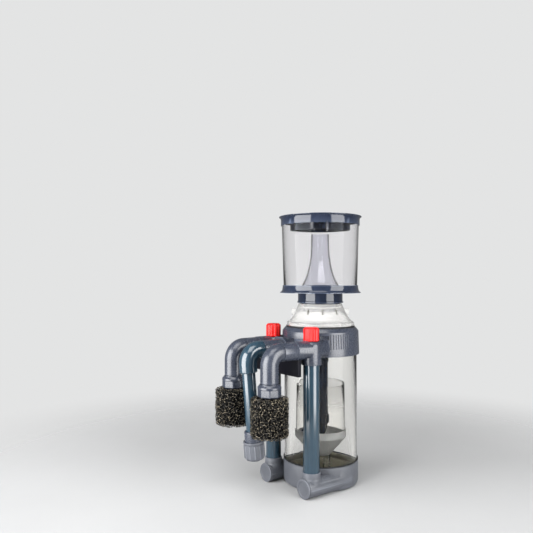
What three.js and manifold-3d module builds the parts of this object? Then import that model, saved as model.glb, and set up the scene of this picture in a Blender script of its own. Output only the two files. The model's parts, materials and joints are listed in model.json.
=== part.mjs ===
// Hang-on protein skimmer: a clear contact column on a round base, a moulded head with two return
// lines and one feed line that hook over a tank wall, and a collection cup on a turn-lock neck.
// Units are millimetres, +Z is up. The origin is the centre of the base's underside. The tank side
// is -X, the front return line is at -Y and the rear one at +Y.
import * as THREE from 'three';
import { mergeVertices } from 'three/addons/utils/BufferGeometryUtils.js';
import Module from 'manifold-3d';

const wasm = await Module();
wasm.setup();

// ---------- driving dimensions ----------
const GAP = 0.3;               // clearance between pieces that touch
const FINE = 28;               // facets round the column
const MEDIUM = 16;             // facets round pipes
const COARSE = 12;             // facets round bores and small pieces

const COLUMN_R = 60;           // clear column, outside
const COLUMN_WALL = 3;
const BASE_R = 61.8;
const BASE_TOP = 38;
const BASE_FLOOR = 5;
const SEAT_Z = 30;             // ledge in the base that the column stands on
const HEAD_BOTTOM = 211.3;
const HEAD_SHOULDER = 249.2;
const HEAD_TOP = 255;
const HEAD_R = 64;

const PIPE_R = 12.5;           // 25 mm pipe
const BORE_R = 10.3;
const FITTING_R = 13.6;        // elbows and arms
const LINE_Y = 47.7;           // return lines sit this far each side of the middle
const RISER_X = -62.2;
const ARM_Z = 225.6;
const ARM_END = -123;          // where the arms meet their elbows
const TEE_END = -97.4;         // where the return arms leave their tees
const BOSS_END = -84.2;        // where the feed arm leaves the head
const TEE_R = 14.4;
const SPIGOT = 8.4;            // how far an arm's spigot goes in
const DROP_X = -143;           // return lines' down legs
const BEND_R = 19;
const FOOT_Z = 15;
const FOOT_R = 15;
const FOOT_END = -76.4;
const SOCKET_R = 14.2;
const FOOT_SOCKET_TOP = 38.6;
const TEE_SOCKET_R = 15.6;
const TEE_SOCKET_BOTTOM = 202.4;
const RISER_TOP = 210.2;

const NUT_R = 17.5;            // to the corners of the octagon and over the crown
const NUT_BOTTOM = 162.4;
const NUT_CROWN = 174;         // lower edge of the round crown
const NUT_TOP = 181.3;
const CORE_FLANGE = NUT_BOTTOM + 2.1; // ledge in the nut that carries the strainer core
const ELBOW_FOOT = NUT_TOP + 1.3;
const CORE_R = 11.3;
const CORE_BOTTOM = 108;
const SPONGE_R = 28.3;
const SPONGE_BOTTOM = 104.6;

const FEED_X = -148;           // feed line's down leg at the arm's height
const FEED_SWING = 0.5;        // degrees that the feed drop stands swung forward about its arm
const FEED_TUCK = 4.8;         // degrees that the feed elbow closes past a right angle
const FEED_PIPE_R = 10.1;

const NECK_TOP = 293.4;
const CUP_SEAT = 321;          // top of the cup's floor
const CUP_TOP = 430;
const LID_TOP = 438.6;
const RISER_TUBE_TOP = 408;

const KNOB_R = 12.2;
const KNOB_BOTTOM = 238.6;
const KNOB_TOP = 260;

const rad = THREE.MathUtils.degToRad;

// ---------- materials ----------
function plastic(color, roughness, extra = {}) {
  return new THREE.MeshStandardMaterial({ color, roughness, metalness: 0, ...extra });
}
const greyPvc = plastic(0x4b4f5c, 0.3);
const clearAcrylic = plastic(0xe9ecea, 0.08, { transparent: true, opacity: 0.35 });
const frostedAcrylic = plastic(0xe4e2da, 0.25, { transparent: true, opacity: 0.6 });
const smokedAcrylic = plastic(0x8b8d8c, 0.3, { transparent: true, opacity: 0.7 });
const blackPlastic = plastic(0x16171b, 0.45);
const redPlastic = plastic(0xd8282a, 0.35);
const rubber = plastic(0x101012, 0.8);
const foam = plastic(0x1c1a18, 0.95);

// ---------- solids ----------
// A closed geometry as a solid that can be joined and cut.
function solid(geometry) {
  geometry.deleteAttribute('normal');
  geometry.deleteAttribute('uv');
  const merged = mergeVertices(geometry, 1e-4);
  const triangles = [];
  for (let i = 0; i < merged.index.count; i += 3) {
    const [a, b, c] = [0, 1, 2].map((k) => merged.index.getX(i + k));
    if (a !== b && b !== c && a !== c) triangles.push(a, b, c);
  }
  return new wasm.Manifold(new wasm.Mesh({
    numProp: 3,
    vertProperties: new Float32Array(merged.attributes.position.array),
    triVerts: new Uint32Array(triangles),
  }));
}

// A round solid about +Z from an outline of [radius, height] points, in either direction.
function turned(outline, facets = MEDIUM) {
  const onAxis = outline[0][0] === 0;
  const points = outline.map(([r, z]) => new THREE.Vector2(r, z));
  const loop = [...points, points[0]];
  let area = 0;
  for (let i = 0; i < points.length; i += 1) area += loop[i].cross(loop[i + 1]);
  if (area < 0) points.reverse();
  if (!onAxis) points.push(points[0].clone());
  return solid(new THREE.LatheGeometry(points, facets).rotateX(Math.PI / 2));
}

function rod(radius, low, high, facets) {
  return turned([[0, low], [radius, low], [radius, high], [0, high]], facets);
}

function sleeve(outer, inner, low, high, facets) {
  return turned([[inner, low], [outer, low], [outer, high], [inner, high]], facets);
}

function block(size, centre) {
  return solid(new THREE.BoxGeometry(...size).translate(...centre));
}

// Points of an arc in an outline, angles in degrees from the radius direction.
function arc(r, z, radius, from, to, steps = 4) {
  return Array.from({ length: steps + 1 }, (_, i) => {
    const angle = rad(from + ((to - from) * i) / steps);
    return [r + radius * Math.cos(angle), z + radius * Math.sin(angle)];
  });
}

// A quarter-turn centreline from the origin along -X that turns down by `angle` degrees.
class ElbowArc extends THREE.Curve {
  constructor(radius, angle) {
    super();
    this.radius = radius;
    this.angle = rad(angle);
  }

  getPoint(t) {
    const a = t * this.angle;
    return new THREE.Vector3(-this.radius * Math.sin(a), 0, -this.radius * (1 - Math.cos(a)));
  }
}

// A solid round bend: straight for `lead` along -X, an arc, then straight for `drop`.
function bentRod(radius, lead, drop, angle = 90, facets = MEDIUM) {
  const section = new THREE.Shape().absarc(0, 0, radius, 0, Math.PI * 2);
  const arcPath = new ElbowArc(BEND_R, angle);
  const bend = solid(new THREE.ExtrudeGeometry(section, {
    steps: 5, curveSegments: facets / 2, bevelEnabled: false, extrudePath: arcPath,
  }));
  const overlap = 0.4;
  const inlet = rod(radius, -lead, overlap, facets).rotate([0, -90, 0]);
  const end = arcPath.getPoint(1);
  const outlet = rod(radius, -drop, overlap, facets).rotate([0, 90 - angle, 0])
    .translate(end.toArray());
  return bend.add(inlet).add(outlet);
}

function mesh(name, shape, material) {
  const { numProp, vertProperties, triVerts } = shape.getMesh();
  const geometry = new THREE.BufferGeometry();
  geometry.setAttribute('position', new THREE.BufferAttribute(new Float32Array(vertProperties), numProp));
  geometry.setIndex(new THREE.BufferAttribute(new Uint32Array(triVerts), 1));
  const part = new THREE.Mesh(geometry, material);
  part.name = name;
  return part;
}

function at(object, x, y, z) {
  object.position.set(x, y, z);
  return object;
}

// Turns a piece made about +Z so that its axis lies along -X.
function alongArm(object) {
  object.rotation.y = -Math.PI / 2;
  return object;
}

// ---------- base ----------
const BASE_HOLLOW_R = 55.5;
const COLUMN_FIT_R = COLUMN_R + 0.4;
const LEG_END = -2;            // legs run alongside the cup to this X

// Water channel through a leg into the cup.
function legRun(side) {
  return rod(BORE_R, -5, 60, COARSE).rotate([0, 90, 0]).translate([FOOT_END, side * LINE_Y, FOOT_Z]);
}

function baseCup() {
  const edge = 8;
  const cup = turned([
    [0, 0], ...arc(BASE_R - edge, edge, edge, -90, 0, 3), [BASE_R, BASE_TOP], [COLUMN_FIT_R, BASE_TOP],
    [COLUMN_FIT_R, SEAT_Z], [BASE_HOLLOW_R, SEAT_Z], [BASE_HOLLOW_R, BASE_FLOOR], [0, BASE_FLOOR],
  ], FINE);
  return cup.subtract(legRun(-1)).subtract(legRun(1));
}

// Foot with an upright riser socket, shaped to sit against the cup's side.
function leg(side) {
  const place = [RISER_X, side * LINE_Y, 0];
  const foot = rod(FOOT_R, 0, LEG_END - FOOT_END).rotate([0, 90, 0])
    .translate([FOOT_END, side * LINE_Y, FOOT_Z]);
  const socket = rod(SOCKET_R, FOOT_Z, FOOT_SOCKET_TOP).translate(place);
  const drop = rod(BORE_R, FOOT_Z, FOOT_SOCKET_TOP + 5, COARSE);
  const seat = rod(PIPE_R + GAP, FOOT_Z + 11, FOOT_SOCKET_TOP + 5);
  const cup = rod(BASE_R + GAP, -5, FOOT_SOCKET_TOP + 5, FINE);
  return foot.add(socket).subtract(cup).subtract(legRun(side)).subtract(drop.add(seat).translate(place));
}

// Disc cap on the end of a foot, made about +Z with its outer face up.
function footCap() {
  const thick = 2.2;
  return turned([
    [0, -8], [BORE_R - 2 * GAP, -8], [BORE_R - 2 * GAP, 0], [FOOT_R, 0],
    [FOOT_R, thick - 1], [FOOT_R - 1, thick], [0, thick],
  ]);
}

const base = new THREE.Group();
base.add(mesh('base_cup', baseCup(), greyPvc));
base.add(mesh('base_seal', sleeve(BASE_R + 0.1, COLUMN_R + 0.35, BASE_TOP + GAP, BASE_TOP + 2.3, FINE),
  rubber));
for (const [end, side] of [['front', -1], ['rear', 1]]) {
  const cap = alongArm(mesh(`foot_cap_${end}`, footCap(), greyPvc));
  base.add(at(cap, FOOT_END - 0.6, side * LINE_Y, FOOT_Z));
  base.add(mesh(`leg_${end}`, leg(side), greyPvc));
}

// ---------- column and cyclone ----------
function columnTube() {
  const feedHole = rod(PIPE_R + 0.8, 0, COLUMN_R + 10).rotate([0, -90, 0]).translate([0, 0, ARM_Z]);
  return sleeve(COLUMN_R, COLUMN_R - COLUMN_WALL, SEAT_Z + GAP, 247.5, FINE).subtract(feedHole);
}

const CYCLONE_R = 40.2;
const CYCLONE_BOTTOM = 88;
const DOWNPIPE_TOP = 203;
const DOWNPIPE_BOTTOM = 101.7;
const JET_R = 11.3;
const JET_Z = 80;
const FEED_DIRECTION = 165;    // degrees from +X that the cyclone jet points

// Open cone whose rim holds the clear cyclone cylinder.
function cycloneCone() {
  const wall = 2;
  return turned([
    [13.5, 48], [16, 48], [CYCLONE_R + 0.6, 76], [CYCLONE_R + 1.4, CYCLONE_BOTTOM],
    [CYCLONE_R + 0.35, CYCLONE_BOTTOM], [CYCLONE_R + 0.35, CYCLONE_BOTTOM - 4],
    [CYCLONE_R - wall, CYCLONE_BOTTOM - 4], [CYCLONE_R - 1.6, 77],
  ], FINE);
}

// Ring foot under the cone, with four windows for the flow.
function coneStand() {
  let ring = sleeve(16, 13.5, BASE_FLOOR + GAP, 47.7, MEDIUM);
  for (const turn of [0, 90]) ring = ring.subtract(block([40, 12, 24], [0, 0, 24]).rotate([0, 0, turn]));
  return ring;
}

// Elbow inside the head that takes the feed from the arm down the column's axis.
function feedElbow() {
  const lead = -RISER_X + 4 - BEND_R;
  const socketDrop = ARM_Z - BEND_R - 193.5;
  const outer = bentRod(PIPE_R, lead, 6).add(
    rod(SOCKET_R - 0.4, -socketDrop, 0).translate([-BEND_R, 0, -BEND_R]),
  );
  const bore = bentRod(BORE_R, lead + 1, socketDrop + 1, 90, COARSE).add(
    rod(PIPE_R + GAP, -socketDrop - 1, -3).translate([-BEND_R, 0, -BEND_R]),
  );
  return outer.subtract(bore).rotate([0, 0, 180]);
}

// Jet elbow at the foot of the downpipe; its mouth opens sideways inside the cone.
function jetElbow() {
  const mouth = 30 - BEND_R;
  const rise = 12;
  const outer = bentRod(JET_R, mouth, 0.5).add(
    rod(SOCKET_R, -rise, 0.2).translate([-BEND_R, 0, -BEND_R]),
  );
  const bore = bentRod(JET_R - 2, mouth + 1, rise + 1, 90, COARSE).add(
    rod(PIPE_R + GAP, -rise - 1, -2).translate([-BEND_R, 0, -BEND_R]),
  );
  return outer.subtract(bore).translate([BEND_R, 0, 0]);
}

const column = new THREE.Group();
column.add(mesh('body_tube', columnTube(), clearAcrylic));
column.add(mesh('cyclone_cylinder', sleeve(CYCLONE_R, CYCLONE_R - 1.7, CYCLONE_BOTTOM - 3.7, 159.9, FINE),
  clearAcrylic));
column.add(mesh('cyclone_cone', cycloneCone(), smokedAcrylic));
column.add(mesh('cone_stand', coneStand(), smokedAcrylic));
column.add(mesh('downpipe', sleeve(PIPE_R, BORE_R, DOWNPIPE_BOTTOM, DOWNPIPE_TOP, MEDIUM), greyPvc));
column.add(at(mesh('feed_elbow', feedElbow(), greyPvc), -BEND_R, 0, ARM_Z));
const jet = mesh('jet_elbow', jetElbow().rotate([180, 0, 0]), greyPvc);
jet.rotation.z = rad(FEED_DIRECTION);
column.add(at(jet, 0, 0, JET_Z));

// ---------- head ----------
const INLET_BOSS_R = 15.2;

// Upright grip ribs on the collar, right of the front line.
function gripRibs() {
  const ribs = [];
  for (let angle = -116.5; angle <= -89; angle += 3.9) {
    ribs.push(block([1.6, 1.6, 23], [HEAD_R, 0, 235]).rotate([0, 0, angle]));
  }
  return ribs;
}

// Collar round the column's top, with the feed boss and the air slot.
function head() {
  const mouth = 54.6;
  const ceiling = 248;
  const collar = turned([
    [COLUMN_FIT_R, HEAD_BOTTOM], [HEAD_R + 0.3, HEAD_BOTTOM], [HEAD_R - 0.8, HEAD_SHOULDER],
    ...arc(HEAD_R - 4, HEAD_SHOULDER + 1.2, 3.4, 0, 60, 2), [HEAD_R - 5.5, HEAD_TOP],
    [mouth, HEAD_TOP], [mouth, ceiling], [COLUMN_FIT_R, ceiling],
  ], FINE);
  let outside = rod(INLET_BOSS_R, 50, -BOSS_END).rotate([0, -90, 0]).translate([0, 0, ARM_Z]);
  for (const rib of gripRibs()) outside = outside.add(rib);
  const hollow = rod(COLUMN_FIT_R, HEAD_BOTTOM - 20, ceiling, FINE);
  const bore = rod(PIPE_R + GAP, 40, 100).rotate([0, -90, 0]).translate([0, 0, ARM_Z]);
  const airSlot = block([5, 14, 6.5], [HEAD_R, 0, 242]).rotate([0, 0, -126]);
  return collar.add(outside.subtract(hollow)).subtract(bore).subtract(airSlot);
}

// Valve tee between riser and arm, shaped to sit against the collar and the feed boss.
function tee(side) {
  const top = 237.8;
  const place = [RISER_X, side * LINE_Y, 0];
  const armLine = [0, side * LINE_Y, ARM_Z];
  const run = rod(TEE_R, -RISER_X - 10, -TEE_END).rotate([0, -90, 0]).translate(armLine);
  const socket = turned([
    [0, TEE_SOCKET_BOTTOM], [TEE_SOCKET_R - 0.8, TEE_SOCKET_BOTTOM],
    [TEE_SOCKET_R, TEE_SOCKET_BOTTOM + 0.8], [TEE_SOCKET_R, 234], [TEE_SOCKET_R - 2, top], [0, top],
  ]).translate(place);
  const gusset = block([3, 22, 13], [-67, side * 25, 233]);
  const collar = rod(HEAD_R + 0.3 + GAP, 190, 260, FINE);
  const boss = rod(INLET_BOSS_R + GAP, 40, 100).rotate([0, -90, 0]).translate([0, 0, ARM_Z]);
  const armSeat = rod(PIPE_R + GAP, -TEE_END - SPIGOT - GAP, 110);
  const armBore = armSeat.add(rod(BORE_R, -RISER_X, 100, COARSE)).rotate([0, -90, 0]).translate(armLine);
  const riserBore = rod(BORE_R, TEE_SOCKET_BOTTOM - 1, 236, COARSE)
    .add(rod(PIPE_R + GAP, TEE_SOCKET_BOTTOM - 1, RISER_TOP + GAP))
    .add(rod(4.4, 230, 245, COARSE))
    .add(rod(KNOB_R + 0.6, KNOB_BOTTOM - GAP, 250)).translate(place);
  return run.add(socket).add(gusset).subtract(collar).subtract(boss).subtract(armBore).subtract(riserBore);
}

const headGroup = new THREE.Group();
headGroup.add(mesh('head', head(), greyPvc));
headGroup.add(mesh('tee_front', tee(-1), greyPvc), mesh('tee_rear', tee(1), greyPvc));

// Saddle plate under the three arms; its -X face bears on the tank wall.
function hangerPlate() {
  const [low, high] = [186.2, ARM_Z - 1];
  const outline = new THREE.Shape();
  const [halfWidth, corner] = [53, 3];
  outline.moveTo(-halfWidth + corner, low).lineTo(halfWidth - corner, low);
  outline.absarc(halfWidth - corner, low + corner, corner, -Math.PI / 2, 0);
  outline.lineTo(halfWidth, high).lineTo(-halfWidth, high).lineTo(-halfWidth, low + corner);
  outline.absarc(-halfWidth + corner, low + corner, corner, Math.PI, Math.PI * 1.5);
  const thick = 7;
  const plate = solid(new THREE.ExtrudeGeometry(outline, {
    depth: thick, bevelEnabled: false, curveSegments: 3,
  }).rotateX(Math.PI / 2).rotateZ(Math.PI / 2));
  const notch = (radius, y) => rod(radius + GAP, -5, 20).rotate([0, 90, 0]).translate([0, y, ARM_Z]);
  return plate.subtract(notch(TEE_R, -LINE_Y)).subtract(notch(FITTING_R, 0)).subtract(notch(TEE_R, LINE_Y));
}
headGroup.add(at(mesh('hanger_plate', hangerPlate(), blackPlastic), -93.5, 0, 0));

// Straight arm made about +Z: a spigot that glues into the head or tee, then the full-size arm.
function arm(length) {
  const bore = BORE_R + 0.7;
  return turned([
    [PIPE_R, -SPIGOT], [PIPE_R, GAP], [FITTING_R, GAP], [FITTING_R, length], [bore, length],
    [bore, -SPIGOT],
  ]);
}

// ---------- return lines ----------
// Elbow with a spigot into the arm and a spigot down into the nut.
function returnElbow() {
  const lead = ARM_END - 0.6 - (DROP_X + BEND_R);
  const drop = ARM_Z - BEND_R - ELBOW_FOOT;
  const spigot = 9;
  const tip = ELBOW_FOOT - NUT_BOTTOM - 4.8;
  const outer = bentRod(FITTING_R, lead, drop);
  const outSpigot = rod(PIPE_R, -drop - tip, 0).translate([-BEND_R, 0, -BEND_R]);
  const inSpigot = rod(BORE_R + 0.4, 0, lead + spigot).rotate([0, 90, 0]);
  const bore = bentRod(BORE_R - 1.6, lead + spigot + 1, drop + tip + 1, 90, COARSE);
  return outer.add(outSpigot).add(inSpigot).subtract(bore);
}

// Octagonal nut under a round crown with notches in its top edge.
function outletNut() {
  const lip = CORE_R + 0.4;
  const bore = PIPE_R + 0.4;
  const [sides, turn] = [8, 10.3];
  const grip = rod(NUT_R, NUT_BOTTOM, NUT_CROWN + 1, sides).rotate([0, 0, turn]);
  const crown = turned([
    [0, NUT_CROWN], [NUT_R, NUT_CROWN], [NUT_R, NUT_TOP - 3.6], [NUT_R - 1, NUT_TOP - 1.6],
    [14.6, NUT_TOP], [0, NUT_TOP],
  ]);
  const hollow = turned([
    [0, NUT_BOTTOM - 1], [lip, NUT_BOTTOM - 1], [lip, CORE_FLANGE], [bore, CORE_FLANGE],
    [bore, NUT_TOP + 1], [0, NUT_TOP + 1],
  ]);
  let nut = grip.add(crown).subtract(hollow);
  for (let k = 0; k < sides; k += 1) {
    const notch = block([3.2, 2.4, 2.4], [NUT_R - 1.6, 0, NUT_TOP - 0.2]);
    nut = nut.subtract(notch.rotate([0, 0, (360 * (k + 0.5)) / sides]));
  }
  return nut;
}

// Slotted tube inside the sponge, closed at its foot, hung in the nut by its top flange.
function strainerCore() {
  const inner = CORE_R - 2;
  const flange = CORE_FLANGE + GAP;
  const thick = 1.8;
  let core = turned([
    [0, CORE_BOTTOM], [CORE_R, CORE_BOTTOM], [CORE_R, flange], [PIPE_R, flange],
    [PIPE_R, flange + thick], [inner, flange + thick], [inner, CORE_BOTTOM + 2], [0, CORE_BOTTOM + 2],
  ], 16);
  const slot = block([40, 4, 42], [0, 0, 135]);
  for (const turn of [0, 90]) core = core.subtract(slot.rotate([0, 0, turn]));
  return core;
}

function spongeSleeve() {
  const edge = 4;
  const top = NUT_BOTTOM - GAP;
  const inner = CORE_R + 0.4;
  return turned([
    [inner, SPONGE_BOTTOM], ...arc(SPONGE_R - edge, SPONGE_BOTTOM + edge, edge, -90, 0, 2),
    ...arc(SPONGE_R - edge, top - edge, edge, 0, 90, 2), [inner, top],
  ], 20);
}

function valveKnob() {
  const lobes = 10;
  const outline = new THREE.Shape();
  const steps = lobes * 3;
  for (let i = 0; i < steps; i += 1) {
    const angle = (i / steps) * Math.PI * 2;
    const r = KNOB_R - 0.55 - 0.55 * Math.cos(lobes * angle);
    if (i === 0) outline.moveTo(r * Math.cos(angle), r * Math.sin(angle));
    else outline.lineTo(r * Math.cos(angle), r * Math.sin(angle));
  }
  outline.closePath();
  const height = KNOB_TOP - KNOB_BOTTOM;
  const grip = solid(new THREE.ExtrudeGeometry(outline, { depth: height, bevelEnabled: false }));
  const crown = turned([
    [0, 0], [KNOB_R, 0], [KNOB_R, height - 2], [KNOB_R - 2, height], [0, height],
  ]);
  return grip.intersect(crown).subtract(rod(4 + GAP, -1, 12, COARSE));
}

// Quarter-turn plug valve: a drilled barrel in the tee with a stem up into the knob.
function valvePlug() {
  const radius = BORE_R - 2 * GAP;
  const top = 235.7;
  const barrel = rod(radius, 211.2, top).add(rod(4, top - 1, KNOB_BOTTOM + 11, COARSE));
  const port = 7.6;
  const side = rod(port, 0, 20, COARSE).rotate([0, -90, 0]).translate([0, 0, ARM_Z]);
  return barrel.subtract(side).subtract(rod(port, 205, ARM_Z, COARSE));
}

function returnLine(end, side) {
  const line = new THREE.Group();
  const y = side * LINE_Y;
  const riser = mesh(`riser_${end}`, sleeve(PIPE_R, BORE_R, FOOT_Z + 11.3, RISER_TOP, MEDIUM), greyPvc);
  line.add(at(riser, RISER_X, y, 0));
  line.add(at(mesh(`valve_plug_${end}`, valvePlug(), blackPlastic), RISER_X, y, 0));
  line.add(at(mesh(`knob_${end}`, valveKnob(), redPlastic), RISER_X, y, KNOB_BOTTOM));
  line.add(at(alongArm(mesh(`arm_${end}`, arm(TEE_END - ARM_END), greyPvc)), TEE_END, y, ARM_Z));
  line.add(at(mesh(`elbow_${end}`, returnElbow(), greyPvc), DROP_X + BEND_R, y, ARM_Z));
  line.add(at(mesh(`outlet_nut_${end}`, outletNut(), greyPvc), DROP_X, y, 0));
  line.add(at(mesh(`strainer_core_${end}`, strainerCore(), blackPlastic), DROP_X, y, 0));
  line.add(at(mesh(`sponge_${end}`, spongeSleeve(), foam), DROP_X, y, 0));
  return line;
}

// ---------- feed line ----------
// The drop is built upright about +Z with z = 0 at the arm's height, then swung and tucked.
const SEAM_Z = -33;            // elbow's lower end
const REDUCER_TOP = -122;
const REDUCER_BOTTOM = -137.5;
const UNION_BOTTOM = -165.5;
const UNION_R = 15.2;          // nut, over its plain wall
const UNION_THREAD_R = 13.4;
const UNION_BORE_R = 8.4;

function feedLineElbow() {
  const lead = ARM_END - 0.6 - (FEED_X + BEND_R);
  const arcEnd = new ElbowArc(BEND_R, 90 + FEED_TUCK).getPoint(1);
  const drop = arcEnd.z - SEAM_Z;
  const spigot = 9;
  const outer = bentRod(FITTING_R, lead, drop, 90 + FEED_TUCK);
  const inSpigot = rod(BORE_R + 0.4, 0, lead + spigot).rotate([0, 90, 0]);
  const bore = bentRod(BORE_R - 1.9, lead + spigot + 1, drop + 1, 90 + FEED_TUCK, COARSE);
  const pipeSeat = rod(FEED_PIPE_R + GAP, -drop - 1, -drop + 9)
    .rotate([0, -FEED_TUCK, 0]).translate(arcEnd.toArray());
  return outer.add(inSpigot).subtract(bore).subtract(pipeSeat);
}

// Socket that glues to the pipe and carries the union's thread.
function unionSocket() {
  const seat = FEED_PIPE_R + GAP;
  return turned([
    [UNION_BORE_R, REDUCER_BOTTOM - 14], [UNION_THREAD_R, REDUCER_BOTTOM - 14],
    [UNION_THREAD_R, REDUCER_TOP - 1], [UNION_THREAD_R - 1, REDUCER_TOP], [seat, REDUCER_TOP],
    [seat, REDUCER_BOTTOM - 2], [UNION_BORE_R, REDUCER_BOTTOM - 2],
  ]);
}

// Ribbed nut with a collar round its top and a lip that holds the tail's flange.
function unionNut() {
  const top = REDUCER_BOTTOM - GAP;
  const inner = UNION_THREAD_R + GAP;
  const lip = 11.6;
  const ledge = UNION_BOTTOM + 3;
  const collar = 0.8;
  let nut = turned([
    [inner, top], [UNION_R + collar, top], [UNION_R + collar, top - 2.6], [UNION_R, top - 3.4],
    [UNION_R, ledge], [UNION_R - 2.2, UNION_BOTTOM], [lip, UNION_BOTTOM], [lip, ledge],
    [inner, ledge],
  ], 24);
  const ribs = 12;
  const height = top - UNION_BOTTOM;
  const rib = block([1.6, 1.5, height - 8], [UNION_R, 0, UNION_BOTTOM + height / 2 - 1]);
  for (let k = 0; k < ribs; k += 1) nut = nut.add(rib.rotate([0, 0, (360 * k) / ribs]));
  return nut;
}

// Flanged tail that the nut pulls up against the gasket; the pump's hose pipe fits it.
function unionTail() {
  const end = 11.3;
  const flange = UNION_BOTTOM + 3 + GAP;
  return turned([
    [UNION_BORE_R, UNION_BOTTOM - 1], [end, UNION_BOTTOM - 1], [end, flange],
    [UNION_THREAD_R, flange], [UNION_THREAD_R, flange + 4], [UNION_BORE_R, flange + 4],
  ]);
}

const returnLines = new THREE.Group();
returnLines.add(returnLine('front', -1), returnLine('rear', 1));

const feedLine = new THREE.Group();
feedLine.add(at(alongArm(mesh('feed_arm', arm(BOSS_END - ARM_END), greyPvc)), BOSS_END, 0, ARM_Z));
const feedSwing = at(new THREE.Group(), 0, 0, ARM_Z);
feedSwing.rotation.x = -rad(FEED_SWING);
feedSwing.add(at(mesh('feed_drop_elbow', feedLineElbow(), greyPvc), FEED_X + BEND_R, 0, 0));
const feedDrop = at(new THREE.Group(), FEED_X, 0, -BEND_R);
feedDrop.rotation.y = -rad(FEED_TUCK);
const hang = (piece) => at(piece, 0, 0, BEND_R);
feedDrop.add(hang(mesh('feed_pipe', sleeve(FEED_PIPE_R, 7.9, REDUCER_BOTTOM - 1.7, SEAM_Z + 8, MEDIUM), greyPvc)));
feedDrop.add(hang(mesh('union_socket', unionSocket(), greyPvc)));
feedDrop.add(hang(mesh('union_nut', unionNut(), greyPvc)));
feedDrop.add(hang(mesh('union_tail', unionTail(), greyPvc)));
feedSwing.add(feedDrop);
feedLine.add(feedSwing);

// ---------- neck, cup and lid ----------
const NECK_SEAL_TOP = 257.7;
const NECK_FOOT = NECK_SEAL_TOP + GAP;

// Flared cone with a skirt that locks in the head, two finger wings and three small index pads.
function neckCone() {
  const [skirtR, skirtInner, skirtBottom] = [54, 51.2, 249];
  const outer = [
    [55.8, NECK_FOOT], [55.8, 262.2], [52, 265], [47.5, 269.8], [42.8, 277.8], [39.2, 285.6],
    [36, NECK_TOP],
  ];
  const inner = [[33.4, 286], [40.4, 277], [45.2, 268.6], [skirtInner, 262.2]];
  const skirt = [[skirtInner, skirtBottom], [skirtR, skirtBottom], [skirtR, NECK_FOOT]];
  let cone = turned([...skirt, ...outer, [33.4, NECK_TOP], ...inner], FINE);
  const mouth = [[0, 300], [33.4, 300], ...inner, [skirtInner, 250], [0, 250]];
  const hollow = turned(mouth, FINE);
  const wing = block([9, 5, 11], [43.5, 0, 280]);
  const pad = block([3.4, 4, 3], [42.6, 0, 281.5]);
  const facing = -126.9;
  for (const turn of [-90, 90]) cone = cone.add(wing.rotate([0, 0, facing + turn]).subtract(hollow));
  for (const turn of [-33, 0, 33]) cone = cone.add(pad.rotate([0, 0, facing + turn]).subtract(hollow));
  return cone;
}

function cupFloor() {
  const bore = 29.5;
  const spigot = 32.9;
  return turned([
    [bore, 287], [spigot, 287], [spigot, 289.2], [spigot - 1.2, 289.2], [spigot - 1.2, 291.4],
    [spigot, 291.4], [spigot, 294.8], [38.2, 294.8], [38.2, 297], [37.2, 297.8], [37.2, 311.4],
    [67.4, 311.8], [65, 314], [63.3, 318.5], [62.8, 324], [61.7, 324], [61.7, 317.6],
    [58.2, 317.6], [58.2, CUP_SEAT], [bore, CUP_SEAT],
  ], FINE);
}

// Clear trumpet that carries the foam up into the cup.
function foamRiser() {
  const outer = [[36, CUP_SEAT + GAP], [36, 323.4], [29.6, 331], [24, 341.5], [19.6, 355],
    [16.6, 371], [14.7, RISER_TUBE_TOP]];
  const inner = outer.map(([r, z]) => [r - 2, z]).reverse();
  inner.pop();
  inner[inner.length - 1] = [31, 324];
  return turned([...outer, ...inner, [31, CUP_SEAT + GAP]], 20);
}

function cupLid() {
  const skirtInner = 64.9;
  const skirtR = 65.9;
  const underside = CUP_TOP + 0.6;
  return turned([
    [0, 433.4], [47.5, 433.4], [47.5, 414], [50, 414], [50, underside], [skirtInner, underside],
    [skirtInner, 423.7], [skirtR, 423.7], [skirtR, 433.6], [66.6, 436], [69.1, 437.8],
    [69.1, LID_TOP], [66.4, LID_TOP], [65, 436.8], [0, 436.8],
  ], FINE);
}

const cup = new THREE.Group();
cup.add(mesh('neck_seal', sleeve(56.9, 54.6, HEAD_TOP + GAP, NECK_SEAL_TOP, FINE), rubber));
cup.add(mesh('neck_cone', neckCone(), frostedAcrylic));
cup.add(mesh('cup_floor', cupFloor(), greyPvc));
cup.add(mesh('cup_oring', sleeve(33.2, 32, 289.5, 291.1, FINE), rubber));
const wallLow = 318;
cup.add(mesh('cup_wall', turned([
  [58.7, wallLow], [61.2, wallLow], [64.4, 422.6], [64.5, CUP_TOP], [62, CUP_TOP],
], FINE), clearAcrylic));
cup.add(mesh('foam_riser', foamRiser(), clearAcrylic));
cup.add(mesh('cup_lid', cupLid(), greyPvc));

const skimmer = new THREE.Group();
skimmer.add(base, column, headGroup, returnLines, feedLine, cup);
export default skimmer;
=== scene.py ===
"""A hang-on protein skimmer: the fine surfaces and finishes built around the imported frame.

Lengths in outlines are millimetres and are turned into metres as a mesh is made. Places and outside
sizes are read from the CAD nodes, and the heights of smaller steps are given in the object's frame.
Every piece rides on the body of the node it stands for and is named after it. The base with its legs
and the head with its tees are one moulding each, and stand for three nodes.
"""

import json
import math
import random

import bmesh
import bpy
from mathutils import Matrix, Vector, kdtree


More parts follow.
